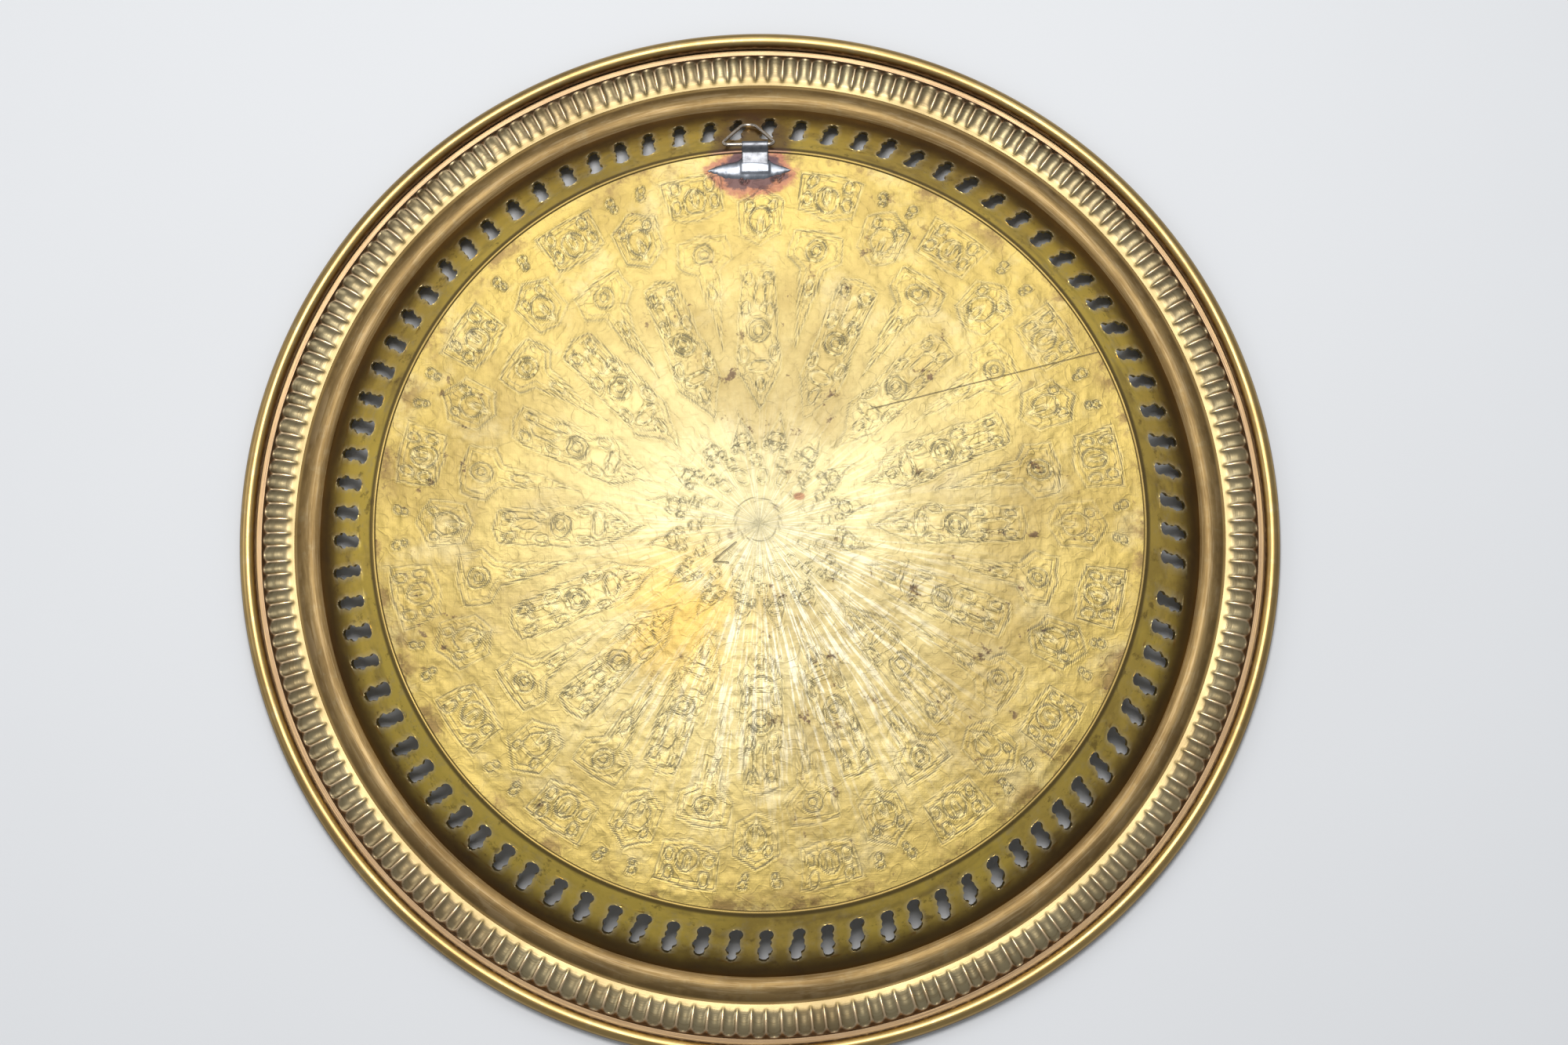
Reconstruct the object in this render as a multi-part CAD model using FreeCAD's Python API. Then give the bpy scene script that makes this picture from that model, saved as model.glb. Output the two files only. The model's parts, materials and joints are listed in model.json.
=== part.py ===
"""Round brass tray with a pierced gallery, a fluted rim, a wired edge and a wall hanger.

The tray lies face down: +Z is up and out of its back, the origin is on the surface it
lies on, under the centre of its disc, and the hanger is on the +Y side. Millimetres.
"""
import FreeCAD
import Part
import math
import os

from FreeCAD import Vector

# ---------------------------------------------------------------- driving dimensions
tray_diameter = 304.8          # over the wired edge: a twelve inch tray
sheet = 0.8                    # thickness of the brass sheet
roll_diameter = 4.6            # outside of the edge that is rolled round the rim wire
roll_wrap = 304.0              # how far the sheet wraps round the wire, degrees
wire_fit = 0.02                # radial clearance of the wire inside the roll
wire_butt_gap = 0.6            # between the two ends of the rim wire
wire_butt_angle = 250.0        # where those ends meet, degrees anticlockwise from +X

# radii and back surface heights of the profile, from the rim inwards
lip_radius = 146.3             # the flat lip ends and the flutes begin
flute_crest_radius = 142.2
flute_inner_radius = 136.5     # the flutes end in a narrow flat groove
band_radius = 135.4            # outer foot of the smooth convex band
valley_radius = 128.8          # inner foot of the band, where the gallery rises
disc_edge_radius = 111.7       # top corner of the gallery
step_radius = 110.6            # foot of the narrow raised ring round the disc
step_slope = 0.35              # width of that foot
flute_crest_height = 2.9
flute_inner_height = 2.0
band_crest_height = 4.1
valley_height = 3.0
ring_height = 18.8             # top of the narrow raised ring
disc_height = 18.5             # back surface of the disc

flute_count = 210
flute_body = 1.65              # thickness of the ring that the flutes are sunk into
flute_head = (-0.8, 1.3)       # rounding of its outer edge: a point out and up from the lip
flute_tail = (2.5, 0.72)       # rounding of its inner edge: out and up from the groove
front_head = 0.35              # share of the outer rounding on the front of the sheet
front_tail = (2.8, 0.12)       # rounding of the inner edge on the front
flute_radius = 2.2             # section of a flute across its length
flute_curve = 22.0             # lengthwise curve of a flute's floor
flute_floor = 2.05             # lowest height of that floor
flute_middle = 141.6           # distance of that place from the tray's axis
ridge_clearance = 0.3          # how far a flute's cutter reaches above the ridges

hole_count = 85                # slots pierced through the gallery
hole_start = 0.26              # outer end, as a share of the slope from the valley
hole_end = 0.77                # inner end, likewise
punch_radii = (1.6, 2.3, 1.85, 2.15)    # overlapping punch cuts, from the outer end
punch_depth = 6.0
hole_slant = 7.0               # degrees that each slot leans from the line of slope
hole_first_angle = 1.9         # of the first slot, clockwise of the hanger, degrees

strap_width = 7.7
strap_thickness = 0.4
strap_length = 8.0             # from the ring's pivot to the ends of both leaves
strap_bend = 2.6               # from the pivot to the line where the upper leaf lands
leaf_gap = 0.06                # between the two leaves
ring_wire = 1.1                # diameter of the hanging ring's wire
ring_fit = 0.06                # radial clearance of the ring in the strap's fold
ring_width = 15.75             # outside, along the straight bar
ring_length = 12.9             # from the pivot to the outside of the tip
ring_corner = 1.35             # bend of the wire's centre line at the two corners
ring_tip = 3.2                 # bend of the wire's centre line at the tip
ring_shift = -1.9              # the ring has slid to one side in its fold
ring_butt_gap = 0.15           # where the wire's ends meet, inside the fold
ring_rest_gap = 0.25           # between the hanging ring and the gallery
pivot_radius = 112.9           # from the tray's axis to the ring's pivot

solder_length = 24.4
solder_width = 5.9
solder_rise = 1.6
solder_shift = -1.8            # sideways from the strap's middle
solder_radius = 105.3          # from the tray's axis to the middle of the solder

# ---------------------------------------------------------------- derived dimensions
roll_radius = roll_diameter / 2
roll_inner_radius = roll_radius - sheet
rim_circle_radius = tray_diameter / 2 - roll_radius
gallery_run = valley_radius - disc_edge_radius
gallery_rise = ring_height - valley_height
gallery_slope = math.atan2(gallery_rise, gallery_run)
gallery_length = math.hypot(gallery_run, gallery_rise)
pivot_height = ring_height + strap_thickness + ring_fit + ring_wire / 2

origin = Vector(0, 0, 0)
up = Vector(0, 0, 1)
sideways = Vector(1, 0, 0)
along_y = Vector(0, 1, 0)


# ---------------------------------------------------------------- helpers
def section_point(radius, height):
    """A point of the tray's half section, which is drawn in the XZ plane."""
    return Vector(radius, 0, height)


def polar_point(centre, radius, degrees):
    """A point of the half section at an angle on a circle round a centre."""
    angle = math.radians(degrees)
    return centre + Vector(radius * math.cos(angle), 0, radius * math.sin(angle))


def line(start, end):
    return Part.makeLine(start, end)


def arc(start, middle, end):
    return Part.Arc(start, middle, end).toShape()


def thicken(path, distance):
    """The face between an open plane path and its parallel at that distance."""
    wire = Part.Wire(path)
    return wire.makeOffset2D(distance, join=0, fill=True, openResult=True)


def repeat_round(shape, count, first_angle):
    """Copies of a shape spread evenly round the tray's axis, as one compound."""
    copies = []
    for number in range(count):
        copy = shape.copy()
        copy.rotate(origin, up, first_angle + number * 360.0 / count)
        copies.append(copy)
    return Part.makeCompound(copies)


# ---------------------------------------------------------------- the tray's sheet
def inner_section():
    """Disc, raised ring, gallery and convex band, from the axis to the flutes."""
    centre = section_point(0, disc_height)
    step_foot = section_point(step_radius, disc_height)
    step_top = section_point(step_radius + step_slope, ring_height)
    corner = section_point(disc_edge_radius, ring_height)
    valley = section_point(valley_radius, valley_height)
    crest = section_point((valley_radius + band_radius) / 2, band_crest_height)
    band_foot = section_point(band_radius, flute_inner_height)
    end = section_point(flute_inner_radius, flute_inner_height)
    path = [line(centre, step_foot), line(step_foot, step_top), line(step_top, corner),
            line(corner, valley), arc(valley, crest, band_foot), line(band_foot, end)]
    return thicken(path, -sheet)


def flute_section():
    """The thick ring that the flutes are sunk into."""
    outer_top = section_point(lip_radius, sheet)
    outer_bottom = section_point(lip_radius, 0)
    inner_top = section_point(flute_inner_radius, flute_inner_height)
    inner_bottom = section_point(flute_inner_radius, flute_inner_height - sheet)
    crest_top = section_point(flute_crest_radius, flute_crest_height)
    crest_bottom = section_point(flute_crest_radius, flute_crest_height - flute_body)
    head_rise = section_point(*flute_head)
    tail_rise = section_point(*flute_tail)
    top = [arc(outer_top, outer_top + head_rise, crest_top),
           arc(crest_top, inner_top + tail_rise, inner_top)]
    bottom = [arc(inner_bottom, inner_bottom + section_point(*front_tail), crest_bottom),
              arc(crest_bottom, outer_bottom + head_rise * front_head, outer_bottom)]
    ends = [line(inner_top, inner_bottom), line(outer_bottom, outer_top)]
    return Part.Face(Part.Wire([*top, ends[0], *bottom, ends[1]]))


def roll_section():
    """The flat lip and the edge rolled towards the back, round the rim wire."""
    centre = section_point(rim_circle_radius, roll_radius)
    start = polar_point(centre, roll_inner_radius, -90)
    middle = polar_point(centre, roll_inner_radius, -90 + roll_wrap / 2)
    end = polar_point(centre, roll_inner_radius, -90 + roll_wrap)
    path = [line(section_point(lip_radius, sheet), start), arc(start, middle, end)]
    return thicken(path, -sheet)


def flute():
    """Boat shaped cutter for one flute: the lowest part of a thick upright ring."""
    centre = section_point(flute_middle, flute_floor + flute_curve)
    wheel = Part.makeTorus(flute_curve - flute_radius, flute_radius, centre, along_y,
                           -180, 180, 360)
    corner = section_point(flute_inner_radius, 0) - along_y * flute_radius
    boat = Part.makeBox(lip_radius - flute_inner_radius, 2 * flute_radius,
                        flute_crest_height + ridge_clearance, corner)
    return wheel.common(boat)


def gallery_slot():
    """Cutter for one slot: a row of overlapping round punch cuts down the slope."""
    outwards = Vector(math.cos(gallery_slope), 0, -math.sin(gallery_slope))
    normal = Vector(math.sin(gallery_slope), 0, math.cos(gallery_slope))
    corner = section_point(disc_edge_radius, ring_height)
    first = gallery_length * (1 - hole_start) - punch_radii[0]
    last = gallery_length * (1 - hole_end) + punch_radii[-1]
    punches = []
    for number, radius in enumerate(punch_radii):
        share = number / (len(punch_radii) - 1)
        place = corner + outwards * (first + (last - first) * share)
        base = place - normal * (punch_depth / 2)
        punches.append(Part.makeCylinder(radius, punch_depth, base, normal))
    slot = punches[0].multiFuse(punches[1:]).removeSplitter()
    slot.rotate(corner + outwards * ((first + last) / 2), normal, hole_slant)
    return slot


def joined_section():
    """Outline of the whole half section, without the lines where its parts meet."""
    seams = (flute_inner_radius, lip_radius)
    same = 1e-6

    def is_seam(edge):
        box = edge.BoundBox
        return any(max(abs(box.XMin - radius), abs(box.XMax - radius)) < same
                   for radius in seams)

    parts = [inner_section(), flute_section(), roll_section()]
    edges = [edge for part in parts for edge in part.Edges if not is_seam(edge)]
    return Part.Face(Part.Wire(Part.__sortEdges__(edges)))


def tray_sheet():
    """The one sheet of brass: disc, pierced gallery, band, flutes, lip and roll."""
    blank = joined_section().revolve(origin, up, 360)
    slots = repeat_round(gallery_slot(), hole_count, 90 - hole_first_angle)
    flutes = repeat_round(flute(), flute_count, 180.0 / flute_count)
    return blank.cut(slots).cut(flutes)


def rim_wire():
    """Round wire inside the rolled edge, with its two ends butted together."""
    centre = section_point(rim_circle_radius, roll_radius)
    circle = Part.makeCircle(roll_inner_radius - wire_fit, centre, along_y)
    face = Part.Face(Part.Wire([circle]))
    gap_angle = math.degrees(wire_butt_gap / rim_circle_radius)
    wire = face.revolve(origin, up, 360 - gap_angle)
    wire.rotate(origin, up, wire_butt_angle + gap_angle / 2)
    return wire


# ---------------------------------------------------------------- the hanger
def hanger_strap():
    """Strip folded round the ring's bar, with both leaves soldered to the disc."""
    inside = ring_wire / 2 + ring_fit
    lower = ring_height + strap_thickness
    upper = lower + leaf_gap
    pivot = Vector(0, pivot_radius, pivot_height)
    fold_bottom = pivot - up * inside
    fold_side = pivot + along_y * inside
    fold_top = pivot + up * inside
    landing = Vector(0, pivot_radius - strap_bend, upper)
    leaf_end = pivot_radius - strap_length
    path = [line(Vector(0, leaf_end, lower), fold_bottom),
            arc(fold_bottom, fold_side, fold_top),
            line(fold_top, landing),
            line(landing, Vector(0, leaf_end, upper))]
    face = thicken(path, strap_thickness)
    strip = face.extrude(sideways * strap_width)
    strip.translate(sideways * (-strap_width / 2))
    return strip


def outer_tangent(corner, corner_radius, tip, tip_radius):
    """Where a line touches two circles in the XY plane on their right hand side."""
    between = tip - corner
    heading = math.atan2(between.y, between.x)
    lean = math.asin((corner_radius - tip_radius) / between.Length)
    side = heading - math.pi / 2 - lean
    normal = Vector(math.cos(side), math.sin(side), 0)
    return corner + normal * corner_radius, tip + normal * tip_radius, side


def ring_path():
    """Centre line of the ring, lying flat: bar along X, tip towards +Y."""
    half_width = (ring_width - ring_wire) / 2
    tip_centre = Vector(ring_shift, ring_length - ring_wire / 2 - ring_tip, 0)
    right_centre = Vector(ring_shift + half_width - ring_corner, ring_corner, 0)
    low, high, side = outer_tangent(right_centre, ring_corner, tip_centre, ring_tip)
    halfway = (side - math.pi / 2) / 2
    corner_middle = right_centre + Vector(math.cos(halfway), math.sin(halfway), 0) * ring_corner

    def mirrored(place):
        return Vector(2 * ring_shift - place.x, place.y, 0)

    right_foot = Vector(right_centre.x, 0, 0)
    top = tip_centre + along_y * ring_tip
    butt = Vector(ring_butt_gap / 2, 0, 0)
    return Part.Wire([
        line(butt, right_foot), arc(right_foot, corner_middle, low), line(low, high),
        arc(high, top, mirrored(high)), line(mirrored(high), mirrored(low)),
        arc(mirrored(low), mirrored(corner_middle), mirrored(right_foot)),
        line(mirrored(right_foot), butt * -1)])


def ring_rest_slope():
    """How steeply the ring hangs, so that its tip lies just clear of the gallery."""
    pivot_distance = ((pivot_radius - disc_edge_radius) * math.sin(gallery_slope)
                      + (pivot_height - ring_height) * math.cos(gallery_slope))
    tip_distance = ring_wire / 2 + ring_rest_gap
    reach = ring_length - ring_wire / 2
    return gallery_slope + math.asin((pivot_distance - tip_distance) / reach)


def hanger_ring():
    """Wire bent to a triangle, with its straight bar in the strap's fold."""
    path = ring_path()
    circle = Part.makeCircle(ring_wire / 2, path.Edges[0].firstVertex().Point, sideways)
    ring = path.makePipeShell([Part.Wire([circle])], True, True)
    ring.rotate(origin, sideways, -math.degrees(ring_rest_slope()))
    ring.translate(Vector(0, pivot_radius, pivot_height))
    return ring


def solder_pad():
    """Lens shaped puddle of solder over the ends of the strap."""
    half_length = solder_length / 2
    half_width = solder_width / 2
    crown = (half_width ** 2 + solder_rise ** 2) / (2 * solder_rise)
    depth = crown - solder_rise
    left = Vector(-half_length, 0, depth)
    right = Vector(half_length, 0, depth)
    profile = [arc(left, Vector(0, 0, crown), right), line(right, Vector(half_length, 0, 0)),
               line(Vector(half_length, 0, 0), Vector(-half_length, 0, 0)),
               line(Vector(-half_length, 0, 0), left)]
    barrel = Part.Face(Part.Wire(profile)).revolve(origin, sideways, 360)
    barrel.translate(Vector(solder_shift, solder_radius, disc_height - depth))
    above = Part.makeBox(2 * solder_length, 2 * solder_width, 2 * solder_rise,
                         Vector(-solder_length, solder_radius - solder_width, disc_height))
    return barrel.common(above).cut(hanger_strap())


# ---------------------------------------------------------------- files
def main():
    os.makedirs("parts", exist_ok=True)
    nodes = {
        "tray_sheet": tray_sheet(),
        "rim_wire": rim_wire(),
        "hanger_strap": hanger_strap(),
        "hanger_ring": hanger_ring(),
        "solder_pad": solder_pad(),
    }
    for name, shape in nodes.items():
        shape.exportStep(f"parts/{name}.step")
        print(name, shape.isValid(), len(shape.Solids), "solids", round(shape.Volume, 1), "mm3")
    print("ring hangs", round(math.degrees(ring_rest_slope()), 2), "degrees below level")


main()
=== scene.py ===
"""Looks of the round brass tray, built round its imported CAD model.

Sizes here are in millimetres, and a mesh is scaled to metres when it is made. The tray
lies face down with its axis on Z, so what shows is its back. Angles round the tray are
degrees clockwise from +Y, seen from above, and the wall hanger is at angle 0.
"""
import json
import math

import bmesh
import bpy
import numpy as np
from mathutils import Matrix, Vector


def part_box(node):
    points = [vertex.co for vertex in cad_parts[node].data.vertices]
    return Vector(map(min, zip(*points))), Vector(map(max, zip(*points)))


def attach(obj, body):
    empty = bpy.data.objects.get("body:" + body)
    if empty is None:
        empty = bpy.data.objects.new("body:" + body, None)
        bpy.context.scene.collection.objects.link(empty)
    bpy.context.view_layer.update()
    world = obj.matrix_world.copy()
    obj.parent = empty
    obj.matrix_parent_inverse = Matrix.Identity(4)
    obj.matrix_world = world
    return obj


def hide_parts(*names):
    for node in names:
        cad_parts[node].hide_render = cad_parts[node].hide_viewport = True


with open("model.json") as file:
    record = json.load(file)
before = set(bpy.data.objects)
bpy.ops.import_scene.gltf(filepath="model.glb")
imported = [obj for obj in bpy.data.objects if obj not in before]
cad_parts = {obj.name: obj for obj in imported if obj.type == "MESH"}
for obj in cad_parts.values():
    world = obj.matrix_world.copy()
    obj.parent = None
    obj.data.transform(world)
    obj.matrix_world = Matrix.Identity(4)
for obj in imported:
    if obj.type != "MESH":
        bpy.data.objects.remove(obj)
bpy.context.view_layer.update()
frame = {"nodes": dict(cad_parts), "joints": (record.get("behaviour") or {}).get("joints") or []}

MM = 0.001

# ---------------------------------------------------------------- sizes of the tray
sheet_low, sheet_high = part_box("tray_sheet")
tray_radius = sheet_high.x / MM
ring_height = sheet_high.z / MM            # top of the narrow raised ring round the disc
sheet = 0.8                                # thickness of the brass
disc_height = ring_height - 0.3            # back surface of the disc

roll_radius = 2.3                          # outside of the edge rolled round its wire
roll_wrap = 304.0                          # how far the sheet wraps round the wire
rim_circle = tray_radius - roll_radius
lip_radius = tray_radius - 6.1             # where the flat lip meets the flutes
flute_inner = tray_radius - 15.9
band_radius = tray_radius - 17.0           # outer foot of the convex band
valley_radius = tray_radius - 23.6         # where the gallery rises
disc_edge = tray_radius - 40.7             # top corner of the gallery
step_radius = disc_edge - 1.1              # foot of the narrow raised ring
valley_height = 3.0
band_crest = 4.1
flute_inner_height = 2.0

hole_count = 85
wide_gap = 22                              # the slot that the widest gap follows
flute_count = 210
pattern_count = 16                         # petals of the chased pattern
pattern_turn = 0.8                         # first petal, degrees clockwise of the hanger


# ---------------------------------------------------------------- helpers: numbers
def smooth(low, high, value):
    """0 below low, 1 above high, and a soft step between them."""
    share = np.clip((value - low) / (high - low), 0, 1)
    return share * share * (3 - 2 * share)


def lattice_noise(x, y, cell, seed):
    """Soft random height from -1 to 1 over the plane, with features one cell wide."""
    size = 256
    lattice = np.random.default_rng(seed).uniform(-1, 1, (size, size))
    column, row = np.floor(x / cell), np.floor(y / cell)
    across, along = x / cell - column, y / cell - row
    across, along = across ** 2 * (3 - 2 * across), along ** 2 * (3 - 2 * along)
    left, below = column.astype(int) % size, row.astype(int) % size
    right, above = (left + 1) % size, (below + 1) % size
    low = lattice[below, left] * (1 - across) + lattice[below, right] * across
    high = lattice[above, left] * (1 - across) + lattice[above, right] * across
    return low * (1 - along) + high * along


def polar(radius, angle, height):
    """Points from radii, clockwise angles in radians and heights."""
    return np.stack(np.broadcast_arrays(
        radius * np.sin(angle), radius * np.cos(angle), height), axis=-1)


def grid_quads(rows, columns, close_rows=False, close_columns=True):
    """Faces of a grid of points that is numbered row by row."""
    row = np.arange(rows if close_rows else rows - 1)[:, None]
    column = np.arange(columns if close_columns else columns - 1)[None, :]
    next_row, next_column = (row + 1) % rows, (column + 1) % columns
    corners = np.stack(np.broadcast_arrays(
        row * columns + column, next_row * columns + column,
        next_row * columns + next_column, row * columns + next_column), axis=-1)
    return corners.reshape(-1, 4)


# ---------------------------------------------------------------- helpers: pieces
def mesh_piece(name, points, faces, values=None):
    """Object of a mesh given in millimetres. faces is a list of arrays of quads and
    triangles, and values holds a number for each point under each attribute's name."""
    mesh = bpy.data.meshes.new(name)
    corners = np.concatenate([np.ravel(part) for part in faces])
    sizes = np.concatenate([np.full(len(part), part.shape[1]) for part in faces])
    starts = np.concatenate([[0], np.cumsum(sizes)[:-1]])
    mesh.vertices.add(len(points))
    mesh.vertices.foreach_set("co", (points * MM).astype(np.float32).ravel())
    mesh.loops.add(len(corners))
    mesh.loops.foreach_set("vertex_index", corners.astype(np.int32))
    mesh.polygons.add(len(sizes))
    mesh.polygons.foreach_set("loop_start", starts.astype(np.int32))
    mesh.update(calc_edges=True)
    mesh.validate()
    for key, numbers in (values or {}).items():
        attribute = mesh.attributes.new(key, "FLOAT", "POINT")
        attribute.data.foreach_set("value", np.ravel(numbers).astype(np.float32))
    piece = bpy.data.objects.new(name, mesh)
    bpy.context.scene.collection.objects.link(piece)
    return piece


def finish_piece(piece, material, body, node, crease=40):
    """Soft shading with creases, a material, and the piece's place in the frame."""
    mesh = piece.data
    mesh.shade_smooth()
    mesh.set_sharp_from_angle(angle=math.radians(crease))
    mesh.materials.append(material)
    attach(piece, body)
    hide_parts(node)
    return piece


def sheet_ring(name, back, front, relief=None, columns=720, cap=False):
    """A ring of the sheet, closed all round. back and front are its two surfaces from
    the axis outwards, as (radius, height) rows, and relief moves both up."""
    rows = np.array([*back, *front[::-1]])
    angle = np.arange(columns)[None, :] * 2 * math.pi / columns
    radius = rows[:, :1]
    points = polar(radius, angle, rows[:, 1:])
    values = {}
    if relief:
        lift, values = relief(points[..., 0], points[..., 1])
        points[..., 2] += lift
    faces = [grid_quads(len(rows), columns, close_rows=not cap)]
    points = points.reshape(-1, 3)
    if cap:
        last = (len(rows) - 1) * columns
        middles = np.array([[0, 0, back[0][1]], [0, 0, front[0][1]]])
        around = np.arange(columns)
        onward = (around + 1) % columns
        top = np.stack([np.full(columns, len(points)), around, onward], axis=-1)
        under = np.stack([np.full(columns, len(points) + 1), last + onward, last + around],
                         axis=-1)
        points = np.concatenate([points, middles])
        values = {key: np.append(np.ravel(numbers), [0, 0]) for key, numbers in values.items()}
        faces += [top, under]
    return mesh_piece(name, points, faces, values)


# ---------------------------------------------------------------- the chased pattern
# Cells of the pattern's background, as (radius, degrees off the axis) down one side.
triangle_cell = [(20.5, 0), (24.5, 8.5), (33.0, 0)]
petal_cell = [(32.5, 0), (45.0, 8.3), (70.0, 4.6), (76.0, 4.0), (77.6, 0)]
arrow_cell = [(52.5, 0), (76.0, 2.9), (79.5, 6.0), (87.0, 5.0), (88.2, 0)]
kite_cell = [(82.5, 0), (86.0, 4.2), (96.0, 4.3), (100.4, 0)]
shield_cell = [(92.3, 0), (94.2, 4.8), (106.0, 5.2), (106.6, 0)]

compass_mark = (-0.6, 1.2, 6.3)             # plain ring in the middle: place and radius

# Small raised figures, as (radius of the middle, sideways, half width, half length).
petal_figures = [(57.0, 0, 3.1, 3.1), (57.0, 0, 1.5, 1.5), (67.5, 0.4, 1.7, 4.4),
                 (46.0, 0, 3.0, 1.7), (40.5, 0, 1.2, 2.2), (50.0, 4.2, 1.2, 2.3),
                 (50.0, -4.2, 1.2, 2.3), (63.0, 3.4, 1.1, 2.2), (63.0, -3.4, 1.1, 2.2),
                 (72.5, 2.9, 1.1, 1.7), (72.5, -2.9, 1.1, 1.7)]
arrow_figures = [(81.8, 0, 2.95, 2.95), (81.8, 0, 1.3, 1.3), (70.5, 0, 1.1, 2.4)]
kite_figures = [(90.5, 0, 3.3, 3.7), (88.2, 0, 0.9, 2.6), (94.6, 3.6, 1.1, 1.4),
                (94.6, -3.6, 1.1, 1.4)]
shield_figures = [(98.6, 0, 3.1, 3.6), (99.4, 0, 1.0, 2.2), (103.0, 5.2, 1.3, 1.9),
                  (103.0, -5.2, 1.3, 1.9), (97.6, 5.6, 1.2, 1.8), (97.6, -5.6, 1.2, 1.8)]
middle_figures = [(14.5, 0.6, 1.5, 2.1), (19.0, -0.9, 1.6, 1.3)]
triangle_figures = [(25.3, 0, 1.9, 1.5), (22.9, 2.4, 0.9, 0.9), (22.9, -2.4, 0.9, 0.9)]
edge_figures = [(104.6, 4.9, 1.15, 1.15), (104.6, -4.9, 1.15, 1.15), (102.6, 4.3, 0.9, 0.9),
                (102.6, -4.3, 0.9, 0.9)]


def folded(x, y, turn, seed):
    """Local sideways and outward place in the nearest of the pattern's sectors, each
    of which is turned and stretched a little by hand."""
    radius = np.hypot(x, y)
    pitch = 2 * math.pi / pattern_count
    angle = np.arctan2(x, y) - math.radians(pattern_turn) - turn * pitch
    sector = np.round(angle / pitch)
    random = np.random.default_rng(seed)
    lean = random.uniform(-0.012, 0.012, pattern_count)[sector.astype(int)]
    stretch = random.uniform(0.988, 1.012, pattern_count)[sector.astype(int)]
    local = angle - sector * pitch + lean
    return radius * np.sin(local), radius * np.cos(local) * stretch


def outline_distance(x, y, cell):
    """Signed distance to a cell's outline, positive inside it."""
    side = [(r * math.sin(math.radians(a)), r * math.cos(math.radians(a))) for r, a in cell]
    corners = np.array(side + [(-px, py) for px, py in side[-2:0:-1]])
    nearest = np.full(x.shape, np.inf)
    inside = np.zeros(x.shape, bool)
    for (x0, y0), (x1, y1) in zip(corners, np.roll(corners, -1, axis=0)):
        edge_x, edge_y = x1 - x0, y1 - y0
        share = ((x - x0) * edge_x + (y - y0) * edge_y) / (edge_x ** 2 + edge_y ** 2)
        share = np.clip(share, 0, 1)
        away = np.hypot(x - x0 - share * edge_x, y - y0 - share * edge_y)
        nearest = np.minimum(nearest, away)
        crosses = ((y0 > y) != (y1 > y)) & (
            x < x0 + (y - y0) * edge_x / (edge_y if abs(edge_y) > 1e-9 else 1e-9))
        inside ^= crosses
    return np.where(inside, nearest, -nearest)


def ridge(distance, width):
    """Rounded ridge of this width along the line where a distance is nought."""
    return np.exp(-(distance / (0.5 * width)) ** 2)


def chased_relief(x, y):
    """Height of the chased pattern as it shows on the back, and its masks: matting
    inside the cells, ridges of outlines and figures, and the hollows beside them."""
    wander_x = 0.55 * lattice_noise(x, y, 7, 11) + 0.25 * lattice_noise(x, y, 2.5, 12)
    wander_y = 0.55 * lattice_noise(x, y, 7, 13) + 0.25 * lattice_noise(x, y, 2.5, 14)
    warped_x, warped_y = x + wander_x, y + wander_y
    matting = np.zeros(x.shape)
    lines = np.zeros(x.shape)
    wide = np.zeros(x.shape)
    groups = [(0, 21, petal_cell, petal_figures), (0, 22, kite_cell, kite_figures),
              (0.5, 23, triangle_cell, triangle_figures), (0.5, 24, arrow_cell, arrow_figures),
              (0.5, 25, shield_cell, shield_figures), (0, 26, None, edge_figures),
              (0, 27, None, middle_figures)]
    for turn, seed, cell, figures in groups:
        across, out = folded(warped_x, warped_y, turn, seed)
        if cell:
            distance = outline_distance(across, out, cell)
            matting = np.maximum(matting, smooth(-0.1, 0.9, distance))
            lines = np.maximum(lines, 0.62 * ridge(distance - 0.35, 0.9))
            lines = np.maximum(lines, 0.35 * ridge(distance - 2.0, 0.7))
            wide = np.maximum(wide, 0.6 * ridge(distance - 0.35, 2.4))
        for middle, aside, half_width, half_length in figures:
            reach = np.hypot((across - aside) / half_width, (out - middle) / half_length)
            off = (reach - 1) * min(half_width, half_length)
            lines = np.maximum(lines, ridge(off, 0.8))
            wide = np.maximum(wide, ridge(off, 2.2))
    off = np.hypot(x - compass_mark[0], y - compass_mark[1]) - compass_mark[2]
    mark = ridge(off, 0.8)
    strength = 0.75 + 0.35 * lattice_noise(x, y, 16, 31)
    lines = lines * np.clip(strength, 0.25, 1)
    hollows = np.clip(wide - 1.2 * lines, 0, 1) * np.clip(strength, 0.25, 1)
    bumps = lattice_noise(x, y, 1.9, 41) + 0.5 * lattice_noise(x, y, 1.0, 42)
    sag = 0.16 * lattice_noise(x, y, 38, 51) + 0.05 * lattice_noise(x, y, 13, 52)
    edge = smooth(step_radius, step_radius - 3, np.hypot(x, y))
    middle = smooth(2, 10, np.hypot(x, y))
    lift = 0.04 * matting + 0.32 * lines - 0.08 * hollows + (0.05 + 0.02 * matting) * bumps
    lift = lift * middle + 0.12 * mark + sag + 0.06 * lattice_noise(x, y, 3.1, 43)
    return lift * edge, {"matting": matting, "ridges": np.maximum(lines * middle, 0.4 * mark),
                         "hollows": hollows * middle}


def disc(materials):
    """The flat back of the disc, in four rings of the same sheet."""
    cuts = [1.5, 45.0, 75.0, 93.0, step_radius]
    names = ["tray_disc_middle", "tray_disc_petals", "tray_disc_field", "tray_disc_border"]
    columns = [640, 1024, 1536, 1536]
    row_width = 0.45
    pieces = []
    for name, inner, outer, around in zip(names, cuts, cuts[1:], columns):
        rows = round((outer - inner) / row_width)
        back = [(r, disc_height) for r in np.linspace(inner, outer, rows + 1)]
        front = [(r, disc_height - sheet) for r in np.linspace(inner, outer, rows // 4 + 1)]
        piece = sheet_ring(name, back, front, chased_relief, around, cap=inner == cuts[0])
        pieces.append(finish_piece(piece, materials["disc"], "tray", "tray_sheet"))
    return pieces


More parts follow.
